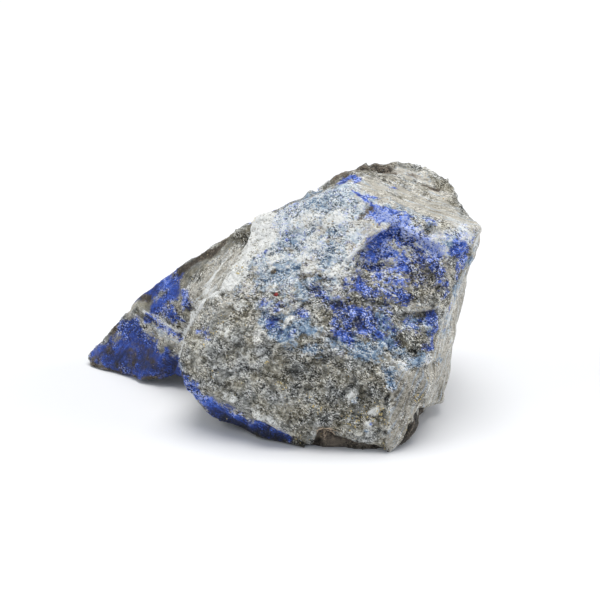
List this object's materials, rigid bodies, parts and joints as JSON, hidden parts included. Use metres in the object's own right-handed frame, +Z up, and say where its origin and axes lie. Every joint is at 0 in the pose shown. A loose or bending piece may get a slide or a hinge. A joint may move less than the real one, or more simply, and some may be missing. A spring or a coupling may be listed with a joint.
{
  "type": "rough lazurite stone",
  "caption": "Rough broken lazurite stone, grey and white with royal-blue patches, with a blocky body, a wedge-shaped tail and a flat base to rest on.",
  "frame": {"origin": "middle of the stone's outline box, on the surface it rests on", "axes": "+X along the stone from its tail to its high corner, +Y from its broad broken front to its back, +Z up"},
  "size_m": [0.0772, 0.0447, 0.0431],
  "materials": {
    "lazurite_rock": "rough broken rock: grey grains, royal-blue and white patches, brown weathered skin, gold flecks"
  },
  "bodies": {
    "root": {"lazurite_stone": "lazurite_rock"}
  },
  "joints": []
}
